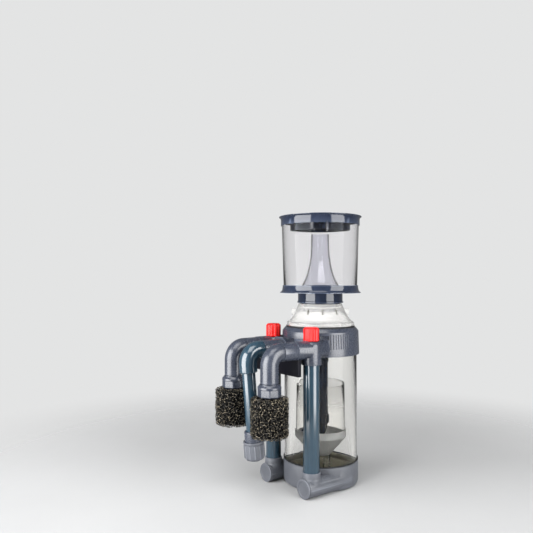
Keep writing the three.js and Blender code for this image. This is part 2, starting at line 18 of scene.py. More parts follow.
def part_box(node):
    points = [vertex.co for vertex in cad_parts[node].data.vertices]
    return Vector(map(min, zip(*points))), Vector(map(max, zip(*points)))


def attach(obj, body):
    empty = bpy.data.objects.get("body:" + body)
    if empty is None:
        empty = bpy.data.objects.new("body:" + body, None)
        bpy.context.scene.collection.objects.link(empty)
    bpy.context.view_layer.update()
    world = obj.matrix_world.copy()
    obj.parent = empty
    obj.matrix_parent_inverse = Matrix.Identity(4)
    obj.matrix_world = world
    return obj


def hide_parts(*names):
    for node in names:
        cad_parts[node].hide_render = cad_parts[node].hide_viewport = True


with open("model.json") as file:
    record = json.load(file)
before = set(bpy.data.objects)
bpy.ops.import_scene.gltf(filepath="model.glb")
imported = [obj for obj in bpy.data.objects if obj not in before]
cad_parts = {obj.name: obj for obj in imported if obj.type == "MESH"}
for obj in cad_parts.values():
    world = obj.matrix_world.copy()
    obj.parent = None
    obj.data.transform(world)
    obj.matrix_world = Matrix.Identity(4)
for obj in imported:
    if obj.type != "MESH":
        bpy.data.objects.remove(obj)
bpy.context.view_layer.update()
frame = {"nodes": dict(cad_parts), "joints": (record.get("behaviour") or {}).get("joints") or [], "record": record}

MM = 0.001
SIDES = 96                 # facets round the large round pieces
PIPE_SIDES = 64            # facets round pipes and fittings
X, Y, Z = Vector((1, 0, 0)), Vector((0, 1, 0)), Vector((0, 0, 1))

record = frame["record"]
body_of = {node: body for body, nodes in record["behaviour"]["bodies"].items() for node in nodes}


# ---------- reading the frame ----------
def span(node):
    """A CAD node's lowest and highest corner, in millimetres."""
    low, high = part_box(node)
    return low / MM, high / MM


def middle(node):
    low, high = span(node)
    return (low + high) / 2


def radius_of(node):
    """Outside radius of an upright round node."""
    low, high = span(node)
    return (high.x - low.x) / 2


# ---------- camera ----------
CAMERA_PLACE = (-0.64772, -0.71367, 0.33378)
CAMERA_TURN = -36.86       # degrees from looking along +Y
CAMERA_PITCH = 1.29        # degrees above level
CAMERA_LENS = 38.57
CAMERA_AZIMUTH = -42.2     # where the camera stands round the object


def make_camera():
    data = bpy.data.cameras.new("camera")
    data.lens = CAMERA_LENS
    data.sensor_width = 36
    camera = bpy.data.objects.new("camera", data)
    camera.location = CAMERA_PLACE
    camera.rotation_euler = (math.radians(90 + CAMERA_PITCH), 0, math.radians(CAMERA_TURN))
    bpy.context.scene.collection.objects.link(camera)
    bpy.context.scene.camera = camera


make_camera()


# ---------- outlines ----------
def rounded(outline, soft):
    """A closed outline of (radius, distance[, fillet]) points with its corners rounded."""
    points = [Vector(p[:2]) for p in outline]
    result = []
    for i, point in enumerate(points):
        fillet = outline[i][2] if len(outline[i]) > 2 else soft
        before, after = points[i - 1] - point, points[(i + 1) % len(points)] - point
        if point.x < 1e-6 or fillet <= 0 or before.length < 1e-6 or after.length < 1e-6:
            result.append(point)
            continue
        turn_angle = math.pi - before.angle(after)
        if turn_angle < 0.05:
            result.append(point)
            continue
        reach = min(fillet * math.tan(turn_angle / 2), 0.45 * before.length, 0.45 * after.length)
        start, end = point + before.normalized() * reach, point + after.normalized() * reach
        steps = 3 if fillet < 2 else 8
        for k in range(steps + 1):
            u = k / steps
            result.append(start * (1 - u) ** 2 + point * 2 * u * (1 - u) + end * u ** 2)
    return result


def spline(points, steps=6):
    """Smooth curve through (radius, distance) points, given back as unrounded outline points."""
    knots = [Vector(p) for p in points]
    knots = [2 * knots[0] - knots[1], *knots, 2 * knots[-1] - knots[-2]]
    result = []
    for a, b, c, d in zip(knots, knots[1:], knots[2:], knots[3:]):
        for k in range(steps):
            t = k / steps
            p = 0.5 * (2 * b + (c - a) * t + (2 * a - 5 * b + 4 * c - d) * t ** 2
                       + (3 * b - a - 3 * c + d) * t ** 3)
            result.append((p.x, p.y, 0))
    return [*result, (*points[-1], 0)]


def divided(loop, step):
    """The same outline with no stretch along the track longer than step."""
    result = []
    for here, there in zip(loop, loop[1:] + loop[:1]):
        pieces = max(1, math.ceil(abs(there.y - here.y) / step))
        result += [here.lerp(there, k / pieces) for k in range(pieces)]
    return result


def sleeve(inner, outer, low, high):
    """Outline of a plain ring or length of pipe."""
    return [(inner, low), (outer, low), (outer, high), (inner, high)]


# ---------- tracks: from a distance to (centre, two directions across) ----------
def upright(x=0.0, y=0.0):
    return lambda s: (Vector((x, y, s)), X, Y)


def along(start, ahead):
    """A straight track from start."""
    across = ahead.orthogonal().normalized()
    other = ahead.cross(across)
    return lambda s: (start + ahead * s, across, other)


def bend(start, ahead, down, lead, radius, angle=90.0):
    """Straight for lead, an arc towards down through angle degrees, then straight on."""
    arc_length = radius * math.radians(angle)
    side = ahead.cross(down).normalized()

    def track(s):
        turned = min(max(s - lead, 0), arc_length) / radius
        heading = ahead * math.cos(turned) + down * math.sin(turned)
        centre = start + ahead * (min(s, lead) + radius * math.sin(turned))
        centre += down * (radius * (1 - math.cos(turned)))
        centre += heading * max(s - lead - arc_length, 0)
        return centre, heading.cross(side), side

    return track


# ---------- meshes ----------
SHARP = math.radians(33)


def finish_mesh(name, builder):
    """A new object from the mesh being built: smooth, with its sharp edges kept sharp."""
    bmesh.ops.recalc_face_normals(builder, faces=builder.faces)
    for face in builder.faces:
        face.smooth = True
    for edge in builder.edges:
        edge.smooth = edge.calc_face_angle(math.pi) < SHARP
    mesh = bpy.data.meshes.new(name)
    builder.to_mesh(mesh)
    builder.free()
    piece = bpy.data.objects.new(name, mesh)
    bpy.context.scene.collection.objects.link(piece)
    return piece


def turn(name, outline, track, sides=PIPE_SIDES, soft=0.35, ripple=None, step=None):
    """A round piece: a closed outline swept round a track. ripple(angle, r, s) adds to the radius."""
    loop = rounded(outline, soft)
    if step:
        loop = divided(loop, step)
    builder = bmesh.new()
    rings = []
    for r, s in loop:
        centre, across, other = track(s)
        if r < 1e-6:
            rings.append([builder.verts.new(centre * MM)])
            continue
        ring = []
        for k in range(sides):
            angle = 2 * math.pi * k / sides
            reach = r + (ripple(angle, r, s) if ripple else 0)
            outward = across * math.cos(angle) + other * math.sin(angle)
            ring.append(builder.verts.new((centre + outward * reach) * MM))
        rings.append(ring)
    for one, two in zip(rings, rings[1:] + rings[:1]):
        if len(one) == 1 and len(two) == 1:
            continue
        for k in range(sides):
            after = k + 1
            corners = [one[k % len(one)], one[after % len(one)], two[after % len(two)], two[k % len(two)]]
            builder.faces.new(list(dict.fromkeys(corners)))
    return finish_mesh(name, builder)


def rod(radius, low, high, track, sides=PIPE_SIDES, soft=0.0):
    return turn("tool", [(0, low), (radius, low), (radius, high), (0, high)], track, sides, soft)


def block(size, centre, angle=0.0, edge=0.0):
    """A box with rounded edges, turned about the object's axis by angle degrees."""
    builder = bmesh.new()
    bmesh.ops.create_cube(builder, size=1)
    for vertex in builder.verts:
        vertex.co = Vector((vertex.co.x * size[0], vertex.co.y * size[1], vertex.co.z * size[2])) * MM
    if edge:
        bmesh.ops.bevel(builder, geom=builder.edges[:], offset=edge * MM, segments=3, profile=0.5,
                        affect="EDGES")
    cosine, sine = math.cos(math.radians(angle)), math.sin(math.radians(angle))
    for vertex in builder.verts:
        x, y, z = vertex.co + Vector(centre) * MM
        vertex.co = (x * cosine - y * sine, x * sine + y * cosine, z)
    return finish_mesh("tool", builder)


def moved(tool, x, y):
    """Shifts a tool's mesh across to another upright axis."""
    tool.data.transform(Matrix.Translation(Vector((x, y, 0)) * MM))
    return tool


def carve(piece, tools, operation="DIFFERENCE"):
    """Joins the tools to the piece, or cuts them out of it, and removes them."""
    for tool in tools:
        modifier = piece.modifiers.new("carve", "BOOLEAN")
        modifier.operation = operation
        modifier.solver = "EXACT"
        modifier.object = tool
    evaluated = piece.evaluated_get(bpy.context.evaluated_depsgraph_get())
    builder = bmesh.new()
    builder.from_mesh(bpy.data.meshes.new_from_object(evaluated))
    bmesh.ops.remove_doubles(builder, verts=builder.verts, dist=1e-6)
    name = piece.name
    for old in [piece, *tools]:
        bpy.data.objects.remove(old)
    return finish_mesh(name, builder)


def place(piece, material, *nodes):
    """The piece stands for its nodes, on their body and in the given material."""
    piece.data.materials.clear()
    piece.data.materials.append(material)
    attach(piece, body_of[nodes[0]])
    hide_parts(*nodes)
    return piece


def lined(piece, material, inside):
    """Gives the faces whose middle passes inside(radius, height) a second material."""
    piece.data.materials.append(material)
    for face in piece.data.polygons:
        centre = face.center / MM
        if inside(math.hypot(centre.x, centre.y), centre.z):
            face.material_index = 1


# ---------- materials ----------
class Finish:
    """A material with a Principled shader whose colour, roughness and relief come from its nodes."""

    def __init__(self, name, **settings):
        self.material = bpy.data.materials.new(name)
        self.material.use_nodes = True
        self.tree = self.material.node_tree
        self.shader = self.tree.nodes["Principled BSDF"]
        for socket, value in settings.items():
            self.shader.inputs[socket.replace("_", " ")].default_value = value
        self.place = self.tree.nodes.new("ShaderNodeTexCoord").outputs["Object"]

    def link(self, output, target, socket):
        self.tree.links.new(output, target.inputs[socket])

    def noise(self, scale, detail=3.0, stretch=None):
        node = self.tree.nodes.new("ShaderNodeTexNoise")
        node.inputs["Scale"].default_value = scale
        node.inputs["Detail"].default_value = detail
        source = self.place
        if stretch:
            mapping = self.tree.nodes.new("ShaderNodeMapping")
            mapping.inputs["Scale"].default_value = stretch
            self.link(source, mapping, "Vector")
            source = mapping.outputs["Vector"]
        self.link(source, node, "Vector")
        return node.outputs["Fac"]

    def ramp(self, factor, stops):
        """Colours by factor: stops are (position, colour)."""
        node = self.tree.nodes.new("ShaderNodeValToRGB")
        elements = node.color_ramp.elements
        while len(elements) < len(stops):
            elements.new(0.5)
        for element, (position, colour) in zip(elements, stops):
            element.position = position
            element.color = (*colour, 1)
        self.link(factor, node, "Fac")
        return node.outputs["Color"]

    def spread(self, factor, low, high):
        node = self.tree.nodes.new("ShaderNodeMapRange")
        node.inputs["From Min"].default_value = 0.3
        node.inputs["From Max"].default_value = 0.7
        node.inputs["To Min"].default_value = low
        node.inputs["To Max"].default_value = high
        self.link(factor, node, "Value")
        return node.outputs["Result"]

    def worn_and_edge_sheen(self, colour, edge_wear_and_sheen_colour):
        """Lightens a colour along outside edges: partly edge wear, partly a painted highlight where light catches
        the edges.
        """
        shape = self.tree.nodes.new("ShaderNodeNewGeometry").outputs["Pointiness"]
        edges = self.ramp(shape, [(0.51, (0, 0, 0)), (0.58, (1, 1, 1))])
        mix = self.tree.nodes.new("ShaderNodeMix")
        mix.data_type = "RGBA"
        self.link(edges, mix, 0)
        self.tree.links.new(colour, mix.inputs[6])
        mix.inputs[7].default_value = (*edge_wear_and_sheen_colour, 1)
        return mix.outputs[2]

    def colour(self, output):
        self.link(output, self.shader, "Base Color")

    def roughness(self, output):
        self.link(output, self.shader, "Roughness")

    def relief(self, height, distance, strength=0.5):
        node = self.tree.nodes.new("ShaderNodeBump")
        node.inputs["Distance"].default_value = distance
        node.inputs["Strength"].default_value = strength
        self.link(height, node, "Height")
        self.link(node.outputs["Normal"], self.shader, "Normal")


def moulded(name, dark, light, rough, grain, edge=None, **settings):
    """Injection-moulded plastic: faint blotches, uneven gloss, fine grain and paler edges, which are partly wear
    and partly a painted edge highlight.
    """
    finish = Finish(name, **settings)
    blotches = finish.ramp(finish.noise(55, 4), [(0.35, dark), (0.65, light)])
    # The edge colour is painted paler than the body: partly wear, partly a painted highlight on the edges.
    finish.colour(finish.worn_and_edge_sheen(blotches, edge or tuple(min(1, 1.7 * c + 0.01) for c in light)))
    finish.roughness(finish.spread(finish.noise(420, 5), *rough))
    finish.relief(finish.noise(2600, 2), grain, 0.35)
    return finish.material


def extruded(name, dark, light, rough, **settings):
    """Drawn pipe: long faint streaks along Z and a smooth skin."""
    finish = Finish(name, **settings)
    streaks = finish.noise(260, 3, stretch=(1, 1, 0.03))
    finish.colour(finish.ramp(streaks, [(0.3, dark), (0.7, light)]))
    finish.roughness(finish.spread(finish.noise(300, 4), *rough))
    finish.relief(streaks, 0.00004, 0.2)
    return finish.material


def clear(name, tint, rough, clarity=1.0, shine=0.12):
    """Clear or milky plastic with a trace of haze and handling marks."""
    finish = Finish(name, Transmission_Weight=clarity, IOR=1.47, Specular_Tint=(shine, shine, shine, 1))
    haze = finish.noise(90, 4)
    finish.colour(finish.ramp(haze, [(0.3, tint), (0.7, tuple(min(1, 1.02 * c) for c in tint))]))
    finish.roughness(finish.spread(finish.noise(35, 6, stretch=(1, 1, 0.25)), *rough))
    finish.relief(finish.noise(30, 1), 0.00004, 0.15)
    return finish.material


satin_pvc = moulded("satin_pvc", (0.019, 0.023, 0.035), (0.027, 0.032, 0.046), (0.26, 0.29), 0.00002,
                    Specular_IOR_Level=0.6)
matte_pvc = moulded("matte_pvc", (0.056, 0.060, 0.071), (0.070, 0.075, 0.088), (0.42, 0.52), 0.00006)
# The gloss finish's pale blue-grey edge colour is a painted highlight along its rims, as well as wear.
gloss_pvc = moulded("gloss_pvc", (0.008, 0.012, 0.024), (0.014, 0.019, 0.034), (0.05, 0.1), 0.00001,
                    edge=(0.06, 0.075, 0.11), Specular_IOR_Level=0.42)
pipe_pvc = extruded("pipe_pvc", (0.010, 0.026, 0.042), (0.018, 0.042, 0.062), (0.1, 0.16),
                    Specular_IOR_Level=0.8)
# A paler olive-grey than the cup's outside, given to the inside of the base cup.
olive_lining_pvc = moulded("olive_lining_pvc", (0.22, 0.21, 0.165), (0.28, 0.265, 0.21), (0.5, 0.6), 0.00005,
                   Specular_IOR_Level=0.2)
# A darker copy of the PVC for the pieces inside the column: painted shade, as they stand in shade behind the clear
# tube.
shaded_inner_pvc = moulded("shaded_inner_pvc", (0.003, 0.007, 0.018), (0.006, 0.012, 0.026), (0.22, 0.3), 0.00003,
                    edge=(0.012, 0.02, 0.036), Specular_IOR_Level=0.3)
clear_acrylic = clear("clear_acrylic", (0.975, 0.97, 0.955), (0.01, 0.03))
cup_acrylic = clear("cup_acrylic", (0.935, 0.93, 0.94), (0.01, 0.03))
lilac_acrylic = clear("lilac_acrylic", (0.88, 0.88, 0.92), (0.02, 0.05), shine=0.4)
hazy_acrylic = clear("hazy_acrylic", (0.935, 0.93, 0.915), (0.10, 0.16), 0.82)
dim_acrylic = clear("dim_acrylic", (0.16, 0.155, 0.14), (0.2, 0.3), 0.3)
smoked_acrylic = clear("smoked_acrylic", (0.50, 0.505, 0.50), (0.3, 0.42), 0.5)
black_plastic = moulded("black_plastic", (0.002, 0.002, 0.004), (0.004, 0.004, 0.007), (0.35, 0.45), 0.00004,
                        edge=(0.006, 0.006, 0.009), Specular_IOR_Level=0.08)
red_plastic = moulded("red_plastic", (0.42, 0.004, 0.004), (0.50, 0.008, 0.007), (0.3, 0.4), 0.00004,
                      Specular_IOR_Level=0.3)
rubber = moulded("rubber", (0.005, 0.005, 0.006), (0.009, 0.009, 0.010), (0.55, 0.7), 0.00006,
                 Specular_IOR_Level=0.25)
foam_heart = moulded("foam_heart", (0.0015, 0.0015, 0.0015), (0.003, 0.003, 0.003), (0.8, 0.9), 0.00008,
                     edge=(0.003, 0.003, 0.003), Specular_IOR_Level=0.05)


def foam_material():
    """Near-black foam web with warm paler struts here and there: painted highlights where light catches the
    struts.
    """
    finish = Finish("foam_web", Specular_IOR_Level=0.2)
    painted_glint_patches = finish.noise(520, 3)
    # The warm pale top stop is a painted highlight on the struts.
    stops = [(0.47, (0.003, 0.003, 0.003)), (0.56, (0.02, 0.018, 0.014)), (0.66, (0.31, 0.265, 0.19))]
    finish.colour(finish.ramp(painted_glint_patches, stops))
    finish.roughness(finish.spread(finish.noise(900, 2), 0.35, 0.6))
    finish.relief(finish.noise(3000, 2), 0.00005, 0.4)
    return finish.material


foam_web = foam_material()

# ---------- driving dimensions, read from the frame ----------
COLUMN = radius_of("body_tube")
BASE_R = span("base_cup")[1].x
BASE_TOP = span("base_seal")[0].z - 0.3
SEAT = span("body_tube")[0].z - 0.3
ARM_Z = middle("arm_front").z
ARM_END = span("arm_front")[0].x
TEE_END = span("tee_front")[0].x
BOSS_END = span("head")[0].x
SPIGOT = span("arm_front")[1].x - TEE_END
DROP_X = middle("outlet_nut_front").x
RISER_X = middle("riser_front").x
LINE_Y = middle("riser_rear").y
PIPE = radius_of("riser_front")
FITTING = span("arm_front")[1].z - ARM_Z
TEE = FITTING + 0.8
BORE = 10.3                # pipe bore, radius
GLUED = PIPE + 0.15        # radius of a socket that a pipe is glued into
SOCKET = 14.2              # outside radius of the plain sockets
NECK_MOUTH = 54.6          # radius of the head's mouth, where the neck goes in
CONE_OUTLET = 13.5         # radius of the hole at the cyclone cone's foot
BEND = 19.0                # elbow bend radius, on its centre line
JOINT_GAP = 0.6            # between an arm's end and its elbow
UNION_THREAD = 13.4        # thread radius of the union
ENDS = {"front": -1, "rear": 1}    # side of the Y axis that each return line is on


# ---------- base ----------
def base_cup():
    """The cup with its two feet and riser sockets: one moulding, split in the CAD for collision."""
    foot_end = span("leg_front")[0].x
    socket_top = span("leg_front")[1].z
    foot = span("foot_cap_front")[1].z / 2
    floor = 5
    inner = 55.5
    lip = COLUMN + 0.4
    above = 60                 # anywhere over the cup's rim, for cutting
    cup = turn("base_cup_fine", [(0, 0), (BASE_R, 0, 8), (BASE_R, BASE_TOP, 0.8), (0, BASE_TOP)],
               upright(), SIDES)
    hollow = [(0, floor), (inner, floor, 3), (inner, SEAT), (lip, SEAT), (lip, above), (0, above)]
    joined, cuts = [], [turn("tool", hollow, upright(), SIDES, soft=0.2)]
    for side in ENDS.values():
        run = along(Vector((foot_end, side * LINE_Y, foot)), X)
        stub = upright(RISER_X, side * LINE_Y)
        joined.append(turn("tool", [(0, 0), (foot, 0, 0.6), (foot, 88), (0, 88)], run, PIPE_SIDES))
        joined.append(turn("tool", [(0, foot), (SOCKET + 0.5, foot), (SOCKET + 0.5, foot + 13),
                                    (SOCKET, foot + 15), (SOCKET, socket_top, 0.8), (0, socket_top)],
                           stub, PIPE_SIDES))
        cuts.append(rod(BORE, -5, 40, run, 48))
        cuts.append(rod(BORE, foot, above, stub, 48))
        cuts.append(rod(GLUED, foot + 11, above, stub, PIPE_SIDES))
    cup = carve(cup, joined, "UNION")
    cup = place(carve(cup, cuts), matte_pvc, "base_cup", "leg_front", "leg_rear")
    # The inside of the cup is given the paler olive-grey lining finish.
    lined(cup, olive_lining_pvc, lambda radius, height: radius < lip and floor - 1 < height < BASE_TOP - 1)


def base_seal():
    low, high = span("base_seal")
    outline = sleeve(COLUMN + 0.2, high.x, low.z, high.z)
    place(turn("base_seal_fine", outline, upright(), SIDES, soft=0.6), rubber, "base_seal")


def foot_cap(end, side):
    node = f"foot_cap_{end}"
    low, high = span(node)
    radius = high.z / 2
    face = 2.2
    track = along(Vector((low.x, side * LINE_Y, radius)), X)
    outline = [(0, 0.5), (radius - 4.2, 0.5), (radius - 3.6, 0), (radius, 0, 0.9), (radius, face, 0.3),
               (BORE - 0.4, face), (BORE - 0.4, high.x - low.x), (0, high.x - low.x)]
    place(turn(f"{node}_fine", outline, track), matte_pvc, node)


# ---------- column and cyclone ----------
def column_tube():
    low, high = span("body_tube")
    outline = sleeve(COLUMN - 3, COLUMN, low.z, high.z)
    tube = turn("body_tube_fine", outline, upright(), SIDES, soft=0.2)
    hole = rod(PIPE + 0.8, 0, 90, along(Vector((0, 0, ARM_Z)), -X), 48)
    place(carve(tube, [hole]), clear_acrylic, "body_tube")


def cyclone():
    low, high = span("cyclone_cylinder")
    outer = high.x
    inner = outer - 1.7
    outline = [(inner, low.z), (outer, low.z), (outer, high.z, 0.6), (inner, high.z, 0.6)]
    place(turn("cyclone_cylinder_fine", outline, upright(), SIDES), clear_acrylic, "cyclone_cylinder")
    low, high = span("cyclone_cone")
    rim = high.x
    shell = [(CONE_OUTLET, low.z), (16, low.z), (rim - 0.8, 76, 1.2), (rim, 77.5), (rim, high.z, 0.5),
             (rim - 1.05, high.z), (rim - 1.05, low.z + 36), (outer - 2, low.z + 36),
             (outer - 1.6, 77)]
    place(turn("cyclone_cone_fine", shell, upright(), SIDES), smoked_acrylic, "cyclone_cone")
    low, high = span("cone_stand")
    ring = turn("cone_stand_fine", sleeve(CONE_OUTLET, high.x, low.z, high.z), upright())
    windows = [block((40, 12, 24), (0, 0, 24), angle) for angle in (0, 90)]
    place(carve(ring, windows), clear_acrylic, "cone_stand")


def inner_pipes():
    # The inner pipes take the darker copy of the PVC, which is painted shade.
    low, high = span("downpipe")
    place(turn("downpipe_fine", sleeve(BORE, PIPE, low.z, high.z), upright()), shaded_inner_pvc, "downpipe")
    low, high = span("feed_elbow")
    lead = -low.x - BEND
    arc_end = lead + BEND * math.pi / 2
    end = arc_end + ARM_Z - BEND - low.z
    socket = high.x
    outline = [(BORE, 0), (PIPE, 0), (PIPE, arc_end - 1), (socket, arc_end, 0.8), (socket, end, 0.8),
               (PIPE + 0.2, end), (PIPE + 0.2, arc_end + 3), (BORE, arc_end + 3)]
    track = bend(Vector((low.x, 0, ARM_Z)), X, -Z, lead, BEND)
    place(turn("feed_elbow_fine", outline, track, step=2.5), shaded_inner_pvc, "feed_elbow")
    jet_reach, jet_z, jet_radius, jet_rise = 30, 80, 11.3, 12
    jet_angle = math.radians(165)
    outward = Vector((math.cos(jet_angle), math.sin(jet_angle), 0))
    lead = jet_reach - BEND
    arc_end = lead + BEND * math.pi / 2
    end = arc_end + jet_rise
    jet_bore = jet_radius - 2
    outline = [(jet_bore, 0), (jet_radius, 0, 0.6), (jet_radius, arc_end - 1), (SOCKET, arc_end, 0.8),
               (SOCKET, end, 0.8), (GLUED, end), (GLUED, arc_end + 2), (jet_bore, arc_end + 2)]
    track = bend(outward * jet_reach + Z * jet_z, -outward, Z, lead, BEND)
    place(turn("jet_elbow_fine", outline, track, step=2.5), shaded_inner_pvc, "jet_elbow")


# ---------- head ----------
def grip_ribs():
    first, pitch, count = -116.5, 3.9, 8
    reach = COLUMN + 4
    return [block((1.6, 1.6, 23), (reach, 0, 235), first + pitch * k, edge=0.5) for k in range(count)]


def head():
    """Collar, feed boss and both valve tees: one moulding, split in the CAD for collision."""
    high = span("head")[1]
    socket_low = span("tee_front")[0].z
    socket_top = 237.8
    collar_low, shoulder = 211.3, 249.2
    inner = COLUMN + 0.4
    seat_top = 248
    wall = high.x
    boss, socket = 15.2, 15.6
    stem_bore = 4.4
    air_slot = block((5, 14, 6.5), (COLUMN + 4, 0, 242), -126, edge=0.4)
    body = turn("head_fine", [(inner - 8, collar_low), (wall, collar_low, 0.8), (wall - 1.1, shoulder, 1.4),
                              (wall - 5.8, high.z, 0.8), (NECK_MOUTH - 6, high.z)], upright(), SIDES)
    feed = along(Vector((0, 0, ARM_Z)), -X)
    joined = [turn("tool", [(0, 40), (boss, 40), (boss, -BOSS_END, 0.8), (0, -BOSS_END)], feed)]
    hollow = [(0, 190), (inner, 190), (inner, seat_top), (NECK_MOUTH, seat_top), (NECK_MOUTH, 270), (0, 270)]
    cuts = [turn("tool", hollow, upright(), SIDES, soft=0), rod(GLUED, 30, 100, feed)]
    for side in ENDS.values():
        run = along(Vector((0, side * LINE_Y, ARM_Z)), -X)
        stem = upright(RISER_X, side * LINE_Y)
        joined.append(turn("tool", [(0, 36), (TEE, 36), (TEE, -TEE_END, 0.8), (0, -TEE_END)], run))
        joined.append(turn("tool", [(0, socket_low), (socket, socket_low, 1.2), (socket, 234, 2),
                                    (socket - 2, socket_top, 1), (0, socket_top)], stem))
        joined.append(block((3, 22, 13), (-67, side * 25, 233), edge=0.5))    # web between collar and tee
        cuts.append(rod(GLUED, -TEE_END - SPIGOT - 0.3, 110, run))
        cuts.append(rod(BORE, -RISER_X, 100, run, 48))
        cuts.append(rod(BORE, socket_low - 1, 236, stem, 48))
        cuts.append(rod(GLUED, socket_low - 1, span("riser_front")[1].z + 0.3, stem))
        cuts.append(rod(stem_bore, 230, 245, stem, 32))
    joined += grip_ribs()
    cuts.append(air_slot)
    body = carve(body, joined, "UNION")
    place(carve(body, cuts), satin_pvc, "head", "tee_front", "tee_rear")


def hanger_plate():
    low, high = span("hanger_plate")
    size, centre = high - low, (low + high) / 2
    plate = block(size, centre, edge=0.9)
    plate.name = "hanger_plate_fine"
    rests = [(TEE, -LINE_Y), (FITTING, 0), (TEE, LINE_Y)]
    notches = [rod(r + 0.15, 0, 30, along(Vector((low.x - 10, y, ARM_Z)), X)) for r, y in rests]
    place(carve(plate, notches), black_plastic, "hanger_plate")


# ---------- return lines ----------
def elbow_mouth(bore):
    """Start of an elbow's outline: the thin spigot that turns inside its arm, then the outer wall."""
    spigot = 9
    return [(bore, -spigot), (BORE + 0.4, -spigot), (BORE + 0.4, 0), (FITTING, 0, 0.5)]


def arm(node):
    low, high = span(node)
    y = middle(node).y
    track = along(Vector((high.x, y, ARM_Z)), -X)
    length = high.x - low.x
    outline = [(BORE + 0.7, 0), (PIPE, 0), (PIPE, SPIGOT), (FITTING, SPIGOT + 0.1), (FITTING, length),
               (BORE + 0.7, length)]
    place(turn(f"{node}_fine", outline, track), satin_pvc, node)


def return_elbow(end, side):
    lead = ARM_END - JOINT_GAP - (DROP_X + BEND)
    arc_end = lead + BEND * math.pi / 2
    foot = span(f"outlet_nut_{end}")[1].z + 1.3
    length = arc_end + ARM_Z - BEND - foot
    tip = arc_end + ARM_Z - BEND - span(f"elbow_{end}")[0].z
    bore = BORE - 1.6
    outline = [*elbow_mouth(bore), (FITTING, length, 0.9), (PIPE, length), (PIPE, tip), (bore, tip)]
    track = bend(Vector((ARM_END - JOINT_GAP, side * LINE_Y, ARM_Z)), -X, -Z, lead, BEND)
    node = f"elbow_{end}"
    place(turn(f"{node}_fine", outline, track, step=2.5), satin_pvc, node)


def outlet_nut(end, side):
    """Octagonal nut under a round crown with notches in its top edge."""
    node = f"outlet_nut_{end}"
    low, high = span(node)
    corner = radius_of(node)
    crown = low.z + 11.6
    corners = 8
    clocking = math.radians(10.3)
    lip, bore = radius_of(f"strainer_core_{end}") - 0.8, PIPE + 0.3
    ledge = low.z + 2.1

    def octagon(angle, r, s):
        """Pulls the wide part below the crown in to the flats of an octagon."""
        if r < bore + 0.5 or s > crown:
            return 0
        half = math.pi / corners
        off = (angle - clocking) % (2 * half) - half
        return (r - 0.3) * (math.cos(half) / math.cos(off) - 1) - 0.1

    outline = [(lip, low.z), (corner - 1.4, low.z, 0.8), (corner, low.z + 1.6, 0.8), (corner, crown - 0.1, 0),
               (corner - 0.3, crown + 0.1, 0), (corner, crown + 0.7, 0.3), (corner, high.z - 3.8, 0.8),
               (corner - 2.6, high.z - 0.9, 0.8), (14.6, high.z, 0.4), (bore, high.z), (bore, ledge),
               (lip, ledge)]
    nut = turn(f"{node}_fine", outline, upright(DROP_X, side * LINE_Y), 160, ripple=octagon)
    notches = []
    for k in range(corners):
        notch_angle = 360 * (k + 0.5) / corners
        tool = block((3.4, 2.6, 2.4), (corner - 1.4, 0, high.z - 0.4), notch_angle, edge=0.3)
        notches.append(moved(tool, DROP_X, side * LINE_Y))
    place(carve(nut, notches), satin_pvc, node)


def strainer_core(end, side):
    node = f"strainer_core_{end}"
    low, high = span(node)
    outer = radius_of(node) - 1.2
    flange = high.z - 1.8
    outline = [(0, low.z), (outer, low.z, 1), (outer, flange), (PIPE, flange), (PIPE, high.z),
               (outer - 2, high.z), (outer - 2, low.z + 2), (0, low.z + 2)]
    core = turn(f"{node}_fine", outline, upright(DROP_X, side * LINE_Y), 48)
    slots = [moved(block((40, 4, 42), (0, 0, 135), angle, edge=0.5), DROP_X, side * LINE_Y)
             for angle in (0, 90)]
    place(carve(core, slots), black_plastic, node)


def riser(end, side):
    node = f"riser_{end}"
    low, high = span(node)
    track = upright(RISER_X, side * LINE_Y)
    place(turn(f"{node}_fine", sleeve(BORE, PIPE, low.z, high.z), track), pipe_pvc, node)


def knob(end, side):
    node = f"knob_{end}"
    low, high = span(node)
    radius, stem_hole = 12.2, 4.3
    lobes, depth = 10, 1.1

    def grip(angle, r, s):
        if r < radius - 3 or s > high.z - 0.4:
            return 0
        return -depth * (0.5 - 0.5 * math.cos(lobes * angle)) ** 1.5

    outline = [(0, high.z), (radius - 2.6, high.z, 1), (radius, high.z - 2.6, 1.6),
               (radius, low.z + 0.6, 0.5), (stem_hole, low.z + 0.2), (stem_hole, low.z + 12),
               (0, low.z + 12)]
    stem = upright(RISER_X, side * LINE_Y)
    place(turn(f"{node}_fine", outline, stem, 120, ripple=grip, step=3), red_plastic, node)
    node = f"valve_plug_{end}"
    frame["nodes"][node].data.materials.clear()
    frame["nodes"][node].data.materials.append(black_plastic)


# ---------- sponges ----------
CELL = 3.5                 # spacing of the foam's joints
CLOSEST = 0.8 * CELL       # no two joints are nearer than this
LONGEST = 1.7 * CELL       # no strut is longer than this
TRIES = 90000              # random points tried for joints, enough to fill the web
WEB_DEPTH = 4.0            # how far in the open web reaches
FOAM_EDGE = 4.0            # radius of the sponge's rounded edges


def in_web(radial, height, radius, low, high, bore):
    """Whether a point lies in the outer layer of a rounded cylinder with a bore."""
    over = max(height - (high - FOAM_EDGE), (low + FOAM_EDGE) - height, 0)
    out = max(radial - (radius - FOAM_EDGE), 0)
    if over and math.hypot(over, out) > FOAM_EDGE or radial > radius or radial < bore:
        return False
    return radius - radial < WEB_DEPTH or high - height < WEB_DEPTH or height - low < WEB_DEPTH


